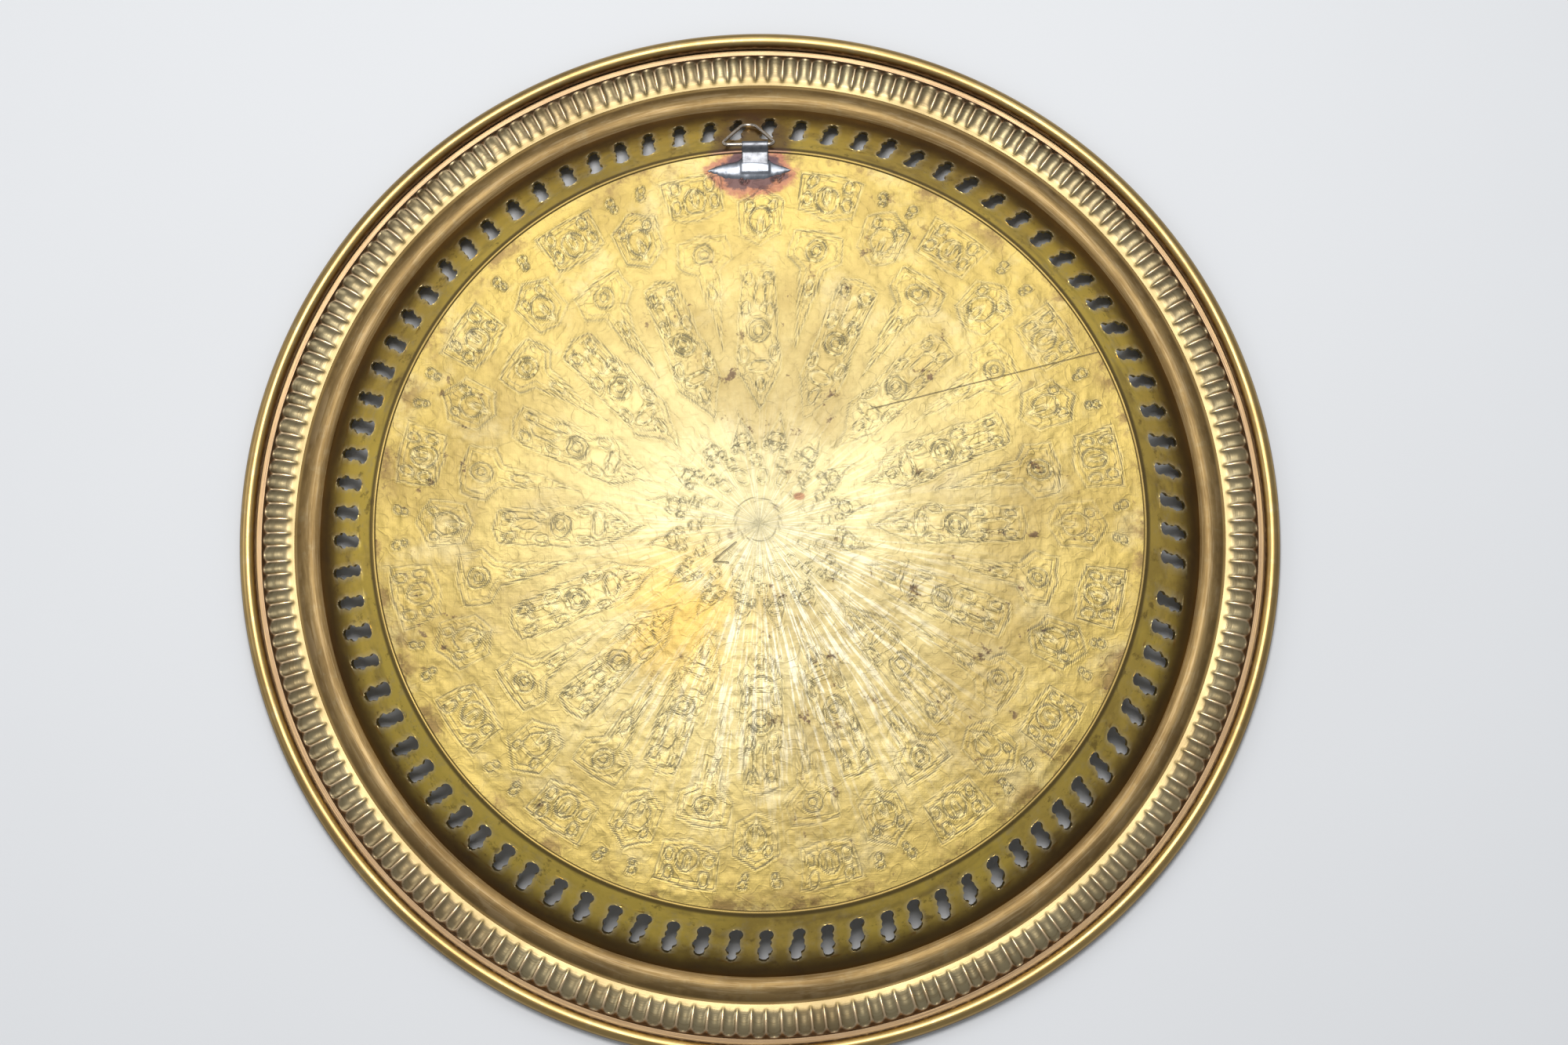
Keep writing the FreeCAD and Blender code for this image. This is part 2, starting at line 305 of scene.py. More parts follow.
# ---------------------------------------------------------------- the pierced gallery
def gallery_path():
    """Back profile from the disc's edge to the valley: radii and heights by length."""
    ring = [(step_radius, disc_height), (step_radius + 0.2, disc_height + 0.2),
            (step_radius + 0.45, ring_height - 0.02), (step_radius + 0.7, ring_height)]
    corner = [(disc_edge - 0.2, ring_height - 0.02), (disc_edge + 0.06, ring_height - 0.14),
              (disc_edge + 0.3, ring_height - 0.4)]
    foot = [(valley_radius - 0.5, valley_height + 0.46), (valley_radius, valley_height)]
    path = np.array(ring + corner + foot)
    steps = np.hypot(*np.diff(path, axis=0).T)
    return np.concatenate([[0], np.cumsum(steps)]), path[:, 0], path[:, 1]


def hole_angles():
    """Where the slots were pierced: nearly even, with one wide gap on the right."""
    random = np.random.default_rng(7)
    pitches = 1 + random.uniform(-0.07, 0.07, hole_count)
    pitches[wide_gap] = 1.4
    starts = np.concatenate([[0], np.cumsum(pitches)[:-1]])
    return math.radians(1.9) + starts * 2 * math.pi / pitches.sum()


def slot_edges(along, random):
    """Offsets of a slot's two edges at these distances from its outer end: a row of
    overlapping punch cuts, ragged at the outer end and round at the inner one."""
    radii = np.array([1.55, 2.3, 1.8, 2.1]) * random.uniform(0.92, 1.07, 4)
    length = along.max()
    places = np.linspace(radii[0], length - radii[-1], 4)
    places[1:3] += random.uniform(-0.3, 0.3, 2)
    edges = []
    for side in (-1, 1):
        shifts = side * random.uniform(-0.22, 0.22, 4)
        widths = [np.sqrt(np.clip(radius ** 2 - (along - place) ** 2, 0, None)) + shift
                  for radius, place, shift in zip(radii, places, shifts)]
        waist = 0.75 * radii.mean() * np.sqrt(np.abs(np.sin(math.pi * along / length)))
        ragged = random.uniform(-0.22, 0.16, len(along)) * smooth(0.75, 0.35, along / length)
        edge = np.maximum(np.max(widths, axis=0), waist) + ragged
        edge[[0, -1]] = 0
        edges.append(side * np.clip(edge, 0, None))
    return edges


def strip_normals(radius, height):
    """Outward and upward parts of the surface's normal, from row to row of a strip."""
    rise, run = np.gradient(height, axis=0), np.gradient(radius, axis=0)
    size = np.hypot(rise, run)
    return -rise / size, run / size


def cell_faces(rows, columns, in_slot, side):
    """Faces on one side of a slot, whose back is numbered before its front: the two
    surfaces, the slot's cut edge, and the edges by the disc and by the valley."""
    front = rows * columns
    quads = grid_quads(rows, columns, close_columns=False)
    cut = np.arange(rows)[in_slot] * columns + (columns - 1 if side == 0 else 0)
    wall = np.stack([cut[:-1], cut[:-1] + front, cut[1:] + front, cut[1:]], axis=-1)
    faces = [quads, quads[:, ::-1] + front, wall if side == 1 else wall[:, ::-1]]
    for row, flip in ((0, False), (rows - 1, True)):
        rim_row = row * columns + np.arange(columns)
        cap = np.stack([rim_row[:-1], rim_row[1:], rim_row[1:] + front, rim_row[:-1] + front],
                       axis=-1)
        faces.append(cap[:, ::-1] if flip else cap)
    return faces


def gallery(materials):
    """The sloping wall with its slots. Every slot has a cell of its own, with strips of
    faces on both sides of it, and the cells share their edges."""
    lengths, radii, heights = gallery_path()
    total = lengths[-1]
    slope_start = lengths[6]
    slope_length = total - slope_start
    hole_end, hole_start = 0.23, 0.74          # inner and outer end, as shares of the slope
    spread = (1 - np.cos(np.linspace(0, math.pi, 33))) / 2
    first = slope_start + slope_length * hole_end
    last = slope_start + slope_length * hole_start
    above = np.concatenate([lengths[:7], np.linspace(slope_start, first, 5)[1:-1]])
    below = np.concatenate([np.linspace(last, total, 7)[1:-1], lengths[-2:]])
    below = np.unique(below)
    rows = len(above) + len(spread) + len(below)
    strip = np.array([0, 0.45, 0.78, 0.93, 1.0])
    centres = hole_angles()
    gaps = np.diff(np.append(centres, centres[0] + 2 * math.pi))
    ends = centres + gaps / 2
    starts = np.roll(ends, 1)
    starts[0] -= 2 * math.pi
    random = np.random.default_rng(8)
    slant = math.tan(math.radians(7))
    points, faces, bare = [], [], []
    side_size = rows * len(strip)
    for centre, start, end in zip(centres, starts, ends):
        inner = first + random.uniform(-0.5, 0.4)
        outer = last + random.uniform(-0.6, 0.5)
        own = np.concatenate([above, inner + (outer - inner) * spread, below])
        shared = np.concatenate([above, first + (last - first) * spread, below])
        in_slot = slice(len(above), len(above) + len(spread))
        edges = slot_edges((outer - inner) * (1 - spread), random)
        lean = slant + random.uniform(-0.05, 0.05)
        middle = (inner + outer) / 2
        for side, boundary, edge in zip((0, 1), (start, end), edges):
            offset = np.zeros(rows)
            offset[in_slot] = edge
            offset = offset + (own - middle) * lean * smooth(slope_start, first, own) \
                * smooth(total, last, own)
            share = strip[None, :] if side == 0 else strip[None, ::-1]
            length = (1 - share) * shared[:, None] + share * own[:, None]
            radius = np.interp(length, lengths, radii)
            height = np.interp(length, lengths, heights)
            own_radius = np.interp(own, lengths, radii)
            angle = (1 - share) * boundary + share * (centre + offset / own_radius)[:, None]
            normal_out, normal_up = strip_normals(radius, height)
            near = np.zeros((rows, len(strip)))
            near[in_slot] = smooth(0.6, 1.0, np.broadcast_to(share, near.shape))[in_slot]
            burr = near * random.uniform(0.02, 0.22, (rows, 1))
            back = polar(radius + normal_out * burr, angle, height + normal_up * burr)
            front = polar(radius - normal_out * sheet, angle, height - normal_up * sheet)
            base = sum(len(part) for part in points)
            points += [back.reshape(-1, 3), front.reshape(-1, 3)]
            bare += [near.ravel(), np.zeros(side_size)]
            faces += [part + base for part in cell_faces(rows, len(strip), in_slot, side)]
    piece = mesh_piece("tray_gallery", np.concatenate(points), faces,
                       {"bare": np.concatenate(bare)})
    weld(piece, 0.002)
    return finish_piece(piece, materials["gallery"], "tray", "tray_sheet")


def weld(piece, distance):
    """Joins points that lie in the same place, and points all faces outwards."""
    mesh = bmesh.new()
    mesh.from_mesh(piece.data)
    bmesh.ops.remove_doubles(mesh, verts=mesh.verts, dist=distance * MM)
    bmesh.ops.recalc_face_normals(mesh, faces=mesh.faces)
    mesh.to_mesh(piece.data)
    mesh.free()


# ---------------------------------------------------------------- band, flutes and rim
def band(materials):
    """The smooth convex band between the gallery's foot and the flutes."""
    half = (band_radius - valley_radius) / 2
    middle = valley_radius + half
    foot_level = valley_height + (flute_inner_height - valley_height) / 2
    rows = []
    for share in np.linspace(-1, 1, 19):
        level = foot_level + (flute_inner_height - valley_height) / 2 * share
        rows.append((middle + half * share, level + (band_crest - foot_level) * (1 - share ** 2)))
    groove = [(band_radius + 0.35, flute_inner_height - 0.12),
              (band_radius + 0.75, flute_inner_height - 0.12),
              (flute_inner, flute_inner_height)]
    back = rows + groove
    front = [(radius, height - sheet) for radius, height in back]
    piece = sheet_ring("tray_band", back, front, shallow_dents, columns=900)
    return finish_piece(piece, materials["band"], "tray", "tray_sheet", crease=50)


def shallow_dents(x, y):
    """The slight unevenness of sheet that is raised by hand over a former."""
    lift = 0.05 * lattice_noise(x, y, 17, 61) + 0.02 * lattice_noise(x, y, 6, 62)
    return lift, {}


flute_dip = [(flute_inner, 0), (flute_inner + 0.8, 0), (flute_inner + 1.9, 0.24),
             (flute_inner + 3.6, 0.75), (lip_radius - 3.4, 0.9), (lip_radius - 1.7, 0.8),
             (lip_radius - 0.9, 0.45), (lip_radius - 0.5, 0), (lip_radius, 0)]
flute_line = [(flute_inner, 2.0), (flute_inner + 1.3, 2.12), (flute_inner + 3, 2.2),
              (lip_radius - 4.6, 2.15), (lip_radius - 3, 1.95), (lip_radius - 1.6, 1.45),
              (lip_radius - 0.6, 1.0), (lip_radius, sheet)]
flute_rise = [(flute_inner, 0), (flute_inner + 0.8, 0.04), (flute_inner + 2.0, 0.34),
              (flute_inner + 4.5, 0.7), (lip_radius - 3.2, 0.75), (lip_radius - 1.8, 0.7),
              (lip_radius - 1.0, 0.45), (lip_radius - 0.45, 0.14), (lip_radius, 0)]


def curve_through(places, radius):
    """Height at these radii of a soft curve through a few (radius, height) places."""
    known, heights = np.array(places).T
    slopes = np.gradient(heights, known)
    index = np.clip(np.searchsorted(known, radius, side="right") - 1, 0, len(known) - 2)
    width = known[index + 1] - known[index]
    share = np.clip((radius - known[index]) / width, 0, 1)
    start, end = heights[index], heights[index + 1]
    start_slope, end_slope = slopes[index] * width, slopes[index + 1] * width
    return (start * (1 + 2 * share) * (1 - share) ** 2 + start_slope * share * (1 - share) ** 2
            + end * share ** 2 * (3 - 2 * share) - end_slope * share ** 2 * (1 - share))


def flutes(materials):
    """The ring of short sunk flutes, round at their outer ends, with narrow ridges between."""
    across = np.array([0, 0.03, 0.06, 0.11, 0.2, 0.34, 0.5, 0.66, 0.8, 0.89, 0.94, 0.97])
    random = np.random.default_rng(9)
    number = np.arange(flute_count)
    crease = number + random.uniform(-0.09, 0.09, flute_count)
    width = np.diff(np.append(crease, crease[0] + flute_count))
    angle = (crease[:, None] + across[None, :] * width[:, None]).ravel()
    angle = angle * 2 * math.pi / flute_count
    radius = np.unique(np.concatenate([
        np.linspace(flute_inner, lip_radius - 3, 13), np.linspace(lip_radius - 3, lip_radius, 13)]))
    side = np.tile(np.abs(2 * across - 1), flute_count)[None, :]
    size = np.repeat(random.uniform(0.9, 1.05, flute_count), len(across))[None, :]
    end = np.repeat(random.uniform(-0.15, 0.2, flute_count), len(across))[None, :]
    reach = radius[:, None] + end * smooth(lip_radius - 6, lip_radius - 2, radius)[:, None]
    head = np.clip((reach - (lip_radius - 2.6)) / 2.1, 0, 0.999)
    half = 0.9 * np.sqrt(1 - head ** 2)
    trough = np.clip(1 - (side / half) ** 2.4, 0, None) ** 0.8
    dip = curve_through(flute_dip, np.clip(reach, flute_inner, lip_radius)) * size * trough
    line = (curve_through(flute_line, radius) + curve_through(flute_rise, radius))[:, None]
    back = polar(radius[:, None], angle[None, :], line - dip)
    few = slice(None, None, 2)
    front = polar(radius[few, None], angle[None, :], (line - dip)[few] - sheet)
    front[..., 2] = np.maximum(front[..., 2], 0)
    points = np.concatenate([back, front[::-1]])
    crests = smooth(0.35, 0.05, dip) * smooth(flute_inner + 2.2, flute_inner + 3.8, radius)[:, None]
    values = np.concatenate([crests, crests[few][::-1]])
    piece = mesh_piece("tray_flutes", points.reshape(-1, 3),
                       [grid_quads(len(points), points.shape[1], close_rows=True)],
                       {"crests": values})
    return finish_piece(piece, materials["flutes"], "tray", "tray_sheet", crease=75)


def rim(materials):
    """The flat lip and the edge that is rolled round the rim wire."""
    columns = 960
    inner_radius = roll_radius - sheet
    wrap = np.linspace(0, roll_wrap, 33)
    lip_steps = np.linspace(lip_radius, rim_circle, 6)[:-1]
    rows = [(radius, sheet, 0, 0) for radius in lip_steps]
    rows += [(0, 0, inner_radius, turn) for turn in wrap[::2]]
    rows += [(0, 0, roll_radius, turn) for turn in wrap[::-1]]
    rows += [(radius, 0, 0, 0) for radius in lip_steps[::-1]]
    rows = np.array(rows)
    angle = np.arange(columns)[None, :] * 2 * math.pi / columns
    rounds = np.random.default_rng(10)
    wobble = sum(rounds.uniform(0.3, 0.8) * np.sin(count * angle + rounds.uniform(0, 6.28))
                 for count in (3, 5, 8, 13, 21, 34, 55))
    turn = np.radians(-90 + rows[:, 3:] * (1 + 0.0028 * wobble))
    curled = rows[:, 2:3] > 0
    radius = np.where(curled, rim_circle + rows[:, 2:3] * np.cos(turn), rows[:, :1])
    height = np.where(curled, roll_radius + rows[:, 2:3] * np.sin(turn), rows[:, 1:2])
    points = polar(radius, angle, height).reshape(-1, 3)
    piece = mesh_piece("tray_rim", points, [grid_quads(len(rows), columns, close_rows=True)])
    return finish_piece(piece, materials["rim"], "tray", "tray_sheet", crease=50)


# ---------------------------------------------------------------- the hanger
strap_width = 7.7
strap_thickness = 0.4
strap_length = 8.0                         # from the ring's pivot to the leaves' ends
strap_bend = 2.6                           # from the pivot to where the upper leaf lands
ring_wire = 1.1
ring_fit = 0.06                            # clearance of the ring's bar in the fold
ring_slope = 46.25                         # how steeply the ring hangs, degrees
solder_sink = 0.05                         # the solder's skin starts this far in the disc
film_thickness = 0.08                      # solder that lies over the strap's end
pivot = np.array(frame["joints"][0]["pos_m"]) / MM


def strap(materials):
    """Strip folded round the ring's bar, with soft edges and both leaves flat."""
    fold = ring_wire / 2 + ring_fit + strap_thickness / 2
    half = strap_thickness / 2
    turn = np.radians(np.linspace(-90, 90, 15))
    lower, upper = ring_height + half, ring_height + strap_thickness * 1.5 + ring_fit
    path = [(pivot[1] - strap_length, lower), (pivot[1] - strap_bend, lower)]
    path += [(pivot[1] + fold * math.cos(a), pivot[2] + fold * math.sin(a)) for a in turn]
    path += [(pivot[1] - strap_bend * share, pivot[2] + fold + (upper - pivot[2] - fold) * drop)
             for share, drop in ((0.25, 0.06), (0.5, 0.38), (0.75, 0.84), (1.0, 1.0))]
    path += [(pivot[1] - strap_length * 0.6, upper), (pivot[1] - strap_length, upper)]
    path = np.array(path)
    ahead = np.gradient(path, axis=0)
    ahead /= np.hypot(*ahead.T)[:, None]
    normal = np.stack([ahead[:, 1], -ahead[:, 0]], axis=-1)
    across = np.array([-1, -0.985, -0.95, -0.88, -0.5, 0, 0.5, 0.88, 0.95, 0.985, 1.0])
    plump = np.sqrt(np.clip(1 - (np.clip(np.abs(across) - 0.95, 0, 1) / 0.0505) ** 2, 0, 1))
    loop = []
    for side, order in ((1, slice(None)), (-1, slice(None, None, -1))):
        offset = side * half * plump[None, :, None] * normal[order][:, None, :]
        skin = path[order][:, None, :] + offset
        width = np.broadcast_to(across[None, :] * strap_width / 2, skin.shape[:2])
        loop.append(np.concatenate([width[..., None], skin], axis=-1))
    points = np.concatenate(loop)
    rows, columns = points.shape[:2]
    faces = [grid_quads(rows, columns, close_rows=True, close_columns=False)]
    around = np.arange(len(path) - 1)
    for column in (0, columns - 1):
        first, second = around * columns + column, (around + 1) * columns + column
        back = rows - 1
        cap = np.stack([first, second, (back - around - 1) * columns + column,
                        (back - around) * columns + column], axis=-1)
        faces.append(cap)
    piece = mesh_piece("strap_strip", points.reshape(-1, 3), faces)
    weld(piece, 0.001)
    return finish_piece(piece, materials["strap"], "tray", "hanger_strap")


def loop_path():
    """Centre line of the ring, lying level: its bar along X and its tip towards +Y."""
    width, length, corner, tip, shift = 15.75, 12.9, 1.35, 3.2, -1.9
    half = (width - ring_wire) / 2
    low = np.array([half - corner, corner])
    high = np.array([0, length - ring_wire / 2 - tip])
    between = high - low
    heading = math.atan2(between[1], between[0])
    side = heading - math.pi / 2 - math.asin((corner - tip) / np.hypot(*between))
    turns = [(low, corner, np.linspace(-math.pi / 2, side, 12)),
             (high, tip, np.linspace(side, math.pi - side, 26)),
             (low * (-1, 1), corner, np.linspace(math.pi - side, 1.5 * math.pi, 12))]
    corners = [centre + radius * np.stack([np.cos(turn), np.sin(turn)], axis=-1)
               for centre, radius, turn in turns]
    parts = []
    for start, end in zip(corners, corners[1:] + corners[:1]):
        share = np.linspace(0, 1, 12)[1:-1, None]
        parts += [start, start[-1] * (1 - share) + end[0] * share]
    flat = np.concatenate(parts)
    bulge = 0.22 * np.sin(math.pi * np.clip(flat[:, 1] / length, 0, 1)) * np.sign(flat[:, 0])
    return np.stack([flat[:, 0] + bulge + shift, flat[:, 1], 0 * flat[:, 0]], axis=-1)


def ring(materials):
    """The wire ring, turned down about its bar until it hangs."""
    path = loop_path()
    turn = math.radians(-ring_slope)
    path = np.stack([path[:, 0], path[:, 1] * math.cos(turn), path[:, 1] * math.sin(turn)],
                    axis=-1) + pivot
    sides = 24
    ahead = np.roll(path, -1, axis=0) - np.roll(path, 1, axis=0)
    ahead /= np.linalg.norm(ahead, axis=1)[:, None]
    plane = np.array([0, -math.sin(turn), math.cos(turn)])
    out = np.cross(ahead, plane)
    angle = np.arange(sides) * 2 * math.pi / sides
    points = path[:, None, :] + ring_wire / 2 * (
        np.cos(angle)[None, :, None] * out[:, None, :]
        + np.sin(angle)[None, :, None] * plane[None, None, :])
    piece = mesh_piece("wire_ring", points.reshape(-1, 3),
                       [grid_quads(len(path), sides, close_rows=True)])
    return finish_piece(piece, materials["ring"], "ring", "hanger_ring")


def solder(materials):
    """Solder that has flowed out to two points, round and over the strap's end."""
    length, shift, middle = 24.4, -1.8, 105.3
    along = np.sin(np.linspace(-math.pi / 2, math.pi / 2, 121))
    x = shift + along * length / 2
    random_edge = 0.22 * lattice_noise(x, x * 0, 1.3, 71) + 0.15 * lattice_noise(x, x * 0, 0.6, 72)
    lens = 2.9 * np.clip(1 - np.abs(along) ** 1.9, 0, 1) ** 0.8
    collar = np.clip((np.abs(x) - strap_width / 2) / 2.6, 0, 1)
    shoulder = 1.7 * (1 - np.sqrt(1 - (1 - collar) ** 2)) * (np.abs(x) > strap_width / 2)
    under_strap = np.where(np.abs(x) <= strap_width / 2, 0.35, shoulder)
    low = middle - lens - random_edge * (lens > 0.5) - 0.03
    high = middle + lens + under_strap + 0.03
    crown = 0.8 * np.clip(1 - np.abs(along) ** 1.3, 0, 1) ** 0.8
    share = np.sin(np.linspace(-math.pi / 2, math.pi / 2, 25))[None, :]
    y = (low + high)[:, None] / 2 + share * (high - low)[:, None] / 2
    wide = np.broadcast_to(x[:, None], y.shape)
    dome = np.clip(1 - np.abs(share) ** 2.6, 0, 1) ** 0.8
    lumps = 1 + 0.16 * lattice_noise(wide, y, 2.6, 73) + 0.04 * lattice_noise(wide, y, 1.0, 74)
    rise = (0.25 + crown[:, None] * lumps) * dome
    strap_end = pivot[1] - strap_length
    strap_top = ring_height + 2 * strap_thickness + ring_fit
    over_strap = (smooth(strap_width / 2 + 0.6, strap_width / 2 + 0.1, np.abs(wide))
                  * smooth(strap_end - 0.8, strap_end - 0.2, y)
                  * smooth(middle + lens[:, None] + 0.2, middle + lens[:, None] - 0.9, y))
    film = strap_top + film_thickness - (disc_height - solder_sink)
    rise += np.clip(film - rise, 0, None) * over_strap
    top = np.stack([wide, y, disc_height - solder_sink + rise], axis=-1)
    under = np.stack([wide, y, np.full(y.shape, disc_height - 0.35)], axis=-1)[:, ::-1]
    points = np.concatenate([top, under], axis=1)
    rows, columns = points.shape[:2]
    ends = [np.stack([row * columns + np.arange(24), row * columns + np.arange(24) + 1,
                      (row + 1) * columns - 2 - np.arange(24),
                      (row + 1) * columns - 1 - np.arange(24)], axis=-1)
            for row in (0, rows - 1)]
    piece = mesh_piece("solder_puddle", points.reshape(-1, 3),
                       [grid_quads(rows, columns), *ends])
    weld(piece, 0.001)
    return finish_piece(piece, materials["solder"], "tray", "solder_pad", crease=60)


# ---------------------------------------------------------------- materials
class Finish:
    """A material under construction, with short ways to add its nodes."""

    def __init__(self, name, colour, metallic, roughness):
        self.material = bpy.data.materials.new(name)
        self.material.use_nodes = True
        self.tree = self.material.node_tree
        self.shader = self.tree.nodes["Principled BSDF"]
        self.shader.inputs["Base Color"].default_value = (*colour, 1)
        self.shader.inputs["Metallic"].default_value = metallic
        self.shader.inputs["Roughness"].default_value = roughness
        self.place = self.add("ShaderNodeTexCoord").outputs["Object"]
        self.bumps = None

    def add(self, kind, **inputs):
        node = self.tree.nodes.new(kind)
        for key, value in inputs.items():
            self.put(node, key, value)
        return node

    def put(self, node, key, value):
        """Sets an input to a value, or links it to another node's output."""
        socket = node.inputs[int(key[1:])] if key[0] == "_" else node.inputs[key]
        if isinstance(value, bpy.types.NodeSocket):
            self.tree.links.new(value, socket)
        else:
            socket.default_value = value

    def math(self, operation, first, second=0.0):
        node = self.add("ShaderNodeMath", _0=first, _1=second)
        node.operation = operation
        return node.outputs[0]

    def product(self, *factors):
        result = factors[0]
        for factor in factors[1:]:
            result = self.math("MULTIPLY", result, factor)
        return result

    def value(self, name):
        """One of the mesh's own attributes."""
        node = self.add("ShaderNodeAttribute")
        node.attribute_name = name
        return node.outputs["Fac"]

    def stretched(self, scale, turn=0.0):
        """The place on the object, scaled per axis and turned about Z."""
        node = self.add("ShaderNodeMapping", Vector=self.place, Scale=scale)
        node.inputs["Rotation"].default_value = (0, 0, math.radians(turn))
        return node.outputs[0]

    def vector(self, operation, first, second=(0, 0, 0), output="Vector"):
        node = self.add("ShaderNodeVectorMath", _0=first, _1=second)
        node.operation = operation
        return node.outputs[output]

    def off_axis(self):
        """The place as a flat offset from the tray's axis."""
        return self.vector("MULTIPLY", self.place, (1, 1, 0))

    def distance_out(self):
        """Distance from the tray's axis."""
        return self.vector("LENGTH", self.off_axis(), output="Value")

    def around(self, per_turn, per_metre):
        """A place that changes slowly round the tray and fast across it."""
        ahead = self.vector("NORMALIZE", self.off_axis())
        parts = self.add("ShaderNodeSeparateXYZ",
                         _0=self.vector("MULTIPLY", ahead, (per_turn, per_turn, per_turn)))
        height = self.add("ShaderNodeSeparateXYZ", _0=self.place)
        across = self.math("ADD", self.distance_out(), height.outputs["Z"])
        return self.add("ShaderNodeCombineXYZ", X=parts.outputs["X"], Y=parts.outputs["Y"],
                        Z=self.product(across, float(per_metre))).outputs[0]

    def noise(self, scale, detail=4.0, roughness=0.55, place=None, distortion=0.0):
        node = self.add("ShaderNodeTexNoise", Vector=place or self.place, Scale=scale,
                        Detail=detail, Roughness=roughness, Distortion=distortion)
        return node.outputs["Fac"]

    def step(self, value, low, high):
        """0 below low, 1 above high, and a soft step between them."""
        node = self.add("ShaderNodeMapRange", _0=value, _1=low, _2=high)
        node.interpolation_type = "SMOOTHSTEP"
        return node.outputs[0]

    def patches(self, scale, detail, roughness, low, high):
        """1 in scattered patches, with features one part in scale of a metre wide."""
        return self.step(self.noise(scale, detail, roughness), low, high)

    def near(self, centre, radius, squash=(1, 1, 0)):
        """1 at a place in millimetres on the tray's back, 0 beyond a radius from it."""
        shift = self.vector("SUBTRACT", self.place, (centre[0] * MM, centre[1] * MM, 0))
        away = self.vector("LENGTH", self.vector("MULTIPLY", shift, squash), output="Value")
        return self.step(away, radius * MM, 0.0)

    def stroke(self, start, end, width):
        """1 along a straight scratch between two places in millimetres, 0 away from it."""
        ahead = Vector((end[0] - start[0], end[1] - start[1], 0))
        length = ahead.length * MM
        ahead.normalize()
        shift = self.vector("SUBTRACT", self.place, (start[0] * MM, start[1] * MM, 0))
        along, aside = [self.vector("DOT_PRODUCT", shift, direction, output="Value")
                        for direction in (ahead, Vector((-ahead.y, ahead.x, 0)))]
        off = self.math("ABSOLUTE", aside)
        return self.product(self.step(off, width * MM, 0.2 * width * MM),
                            self.step(along, 0.0, 0.04 * length),
                            self.step(along, length, 0.96 * length))

    def paint(self, mask, colour, share=1.0):
        """Lays a share of a colour over the base colour where a mask is above 0."""
        node = self.add("ShaderNodeMix")
        node.data_type = "RGBA"
        colours = [socket for socket in node.inputs if socket.type == "RGBA"]
        source = self.shader.inputs["Base Color"]
        if source.is_linked:
            self.tree.links.new(source.links[0].from_socket, colours[0])
        else:
            colours[0].default_value = source.default_value
        colours[1].default_value = (*colour, 1)
        self.put(node, "_0", self.product(mask, share) if share < 1 else mask)
        result = [socket for socket in node.outputs if socket.type == "RGBA"][0]
        self.tree.links.new(result, source)

    def roughen(self, value):
        self.put(self.shader, "Roughness", value)

    def bump(self, height, distance, strength=1.0):
        """Adds fine relief, with its height in millimetres."""
        node = self.add("ShaderNodeBump", Height=height, Distance=distance * MM,
                        Strength=strength)
        if self.bumps is not None:
            self.put(node, "Normal", self.bumps)
        self.bumps = node.outputs["Normal"]
        self.put(self.shader, "Normal", self.bumps)


def brass(name, colour, roughness):
    """Brass that has aged: cloudy colour, brushing round the tray and fine scratches."""
    finish = Finish(name, colour, 1.0, roughness)
    cloud = finish.noise(28, 5, 0.6)
    finish.paint(finish.step(cloud, 0.42, 0.66), (0.25, 0.155, 0.06), 0.5)
    fine = finish.noise(260, 4, 0.65)
    finish.paint(finish.step(fine, 0.5, 0.75), (0.48, 0.40, 0.24), 0.4)
    lines = finish.noise(1.0, 3, 0.6, finish.around(5, 2600))
    finish.paint(finish.step(lines, 0.5, 0.72), (0.22, 0.145, 0.06), 0.5)
    finish.bump(lines, 0.05, 0.6)
    worn = finish.math("ADD", finish.product(cloud, 0.25), roughness - 0.12)
    finish.roughen(worn)
    return finish


def disc_brass():
    """The disc: paler towards its middle as a painted highlight, with pale rays of painted
    highlight below its middle, brown painted shade, partly grime, in the hollows of the pattern,
    and a painted highlight, partly wear, on its raised lines.
    """
    finish = Finish("brass_disc", (0.345, 0.255, 0.066), 1.0, 0.5)
    finish.shader.inputs["Coat Weight"].default_value = 0.3
    finish.shader.inputs["Coat Roughness"].default_value = 0.4
    matting, lines = finish.value("matting"), finish.value("ridges")
    texture = finish.math("ADD", finish.product(matting, 0.4), 0.6)
    cloud = finish.noise(22, 6, 0.62)
    patch = finish.noise(60, 5, 0.65)
    worms = finish.noise(230, 1, 0.4, distortion=0.5)
    rays = finish.noise(1.0, 4, 0.65, finish.around(38, 55))
    # Painted highlight: paler towards the middle, where the key light's broad sheen falls.
    finish.paint(finish.near((0, -5), 115), (0.42, 0.375, 0.215), 0.85)
    finish.paint(finish.step(cloud, 0.46, 0.68), (0.24, 0.165, 0.045), 0.55)
    finish.paint(finish.product(finish.near((-72, -12), 48), finish.step(patch, 0.38, 0.6)),
                 (0.24, 0.175, 0.06), 0.7)
    finish.paint(finish.step(patch, 0.5, 0.72), (0.44, 0.38, 0.22), 0.4)
    # Painted highlight: pale radial rays below the middle, where the key light is reflected.
    bright = finish.product(finish.near((6, -30), 75), finish.step(rays, 0.48, 0.60))
    finish.paint(bright, (0.60, 0.57, 0.45), 0.75)
    scroll = finish.step(finish.math("ABSOLUTE", finish.math("SUBTRACT", worms, 0.5)), 0.07, 0.0)
    finish.paint(finish.product(scroll, texture), (0.16, 0.11, 0.035), 0.10)
    # Painted shade, partly grime: brown in the hollows beside the raised lines.
    finish.paint(finish.value("hollows"), (0.17, 0.12, 0.035), 0.3)
    # Painted highlight, partly wear: paler on the raised lines of the pattern.
    finish.paint(lines, (0.56, 0.49, 0.28), 0.45)
    stain_disc(finish, cloud, patch)
    heat_disc(finish)
    marks = mark_disc(finish)
    bump_disc(finish, lines, finish.product(scroll, texture), rays, marks)
    rough = finish.math("ADD", finish.product(matting, -0.02), finish.product(cloud, 0.16))
    finish.roughen(finish.math("ADD", rough, 0.40))
    return finish.material


